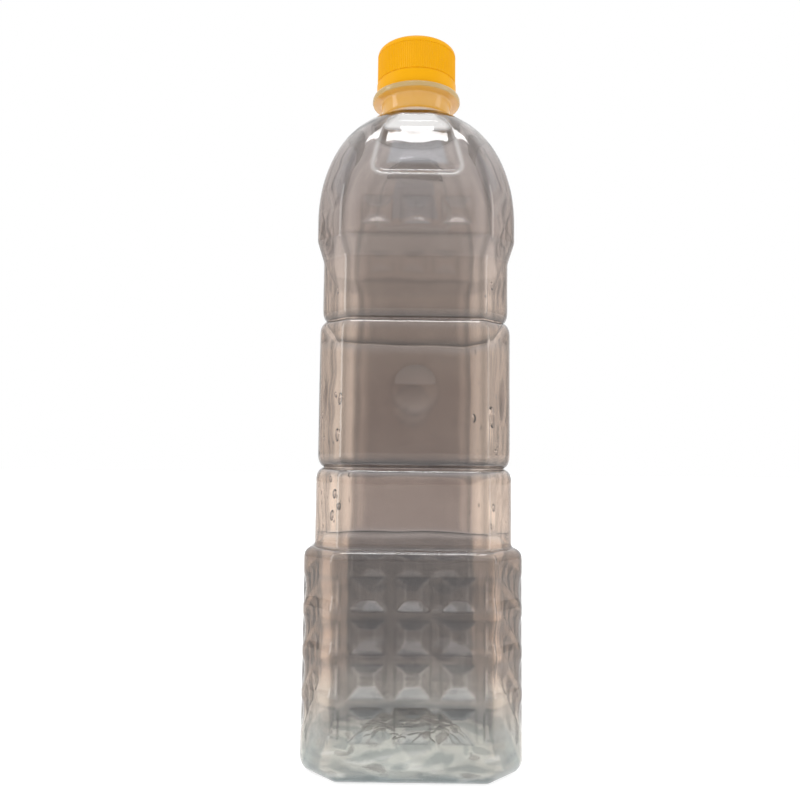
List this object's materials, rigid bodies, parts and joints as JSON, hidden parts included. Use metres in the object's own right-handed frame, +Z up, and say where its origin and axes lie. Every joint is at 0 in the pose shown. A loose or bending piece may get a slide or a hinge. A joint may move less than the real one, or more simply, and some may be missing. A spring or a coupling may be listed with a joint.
{
  "type": "clear square plastic bottle with screw cap",
  "caption": "Tall clear square bottle of thin blown plastic, empty, with grip relief, pinched grooves, a domed shoulder and a screw cap.",
  "frame": {"origin": "middle of the flat foot, on the bottle's axis", "axes": "+Z up along the axis to the cap; the four wide faces square to X and Y; the shown face looks along -Y"},
  "size_m": [0.0724, 0.0724, 0.2555],
  "materials": {
    "clear_pet": "clear thin PET plastic, glossy, faint warm grey tint, slight waviness from blow moulding",
    "yellow_cap": "moulded golden yellow polyolefin, satin gloss, fine knurls round the skirt"
  },
  "bodies": {
    "root": {"bottle": "clear_pet", "cap": "yellow_cap", "tamper_band": "yellow_cap"}
  },
  "joints": []
}
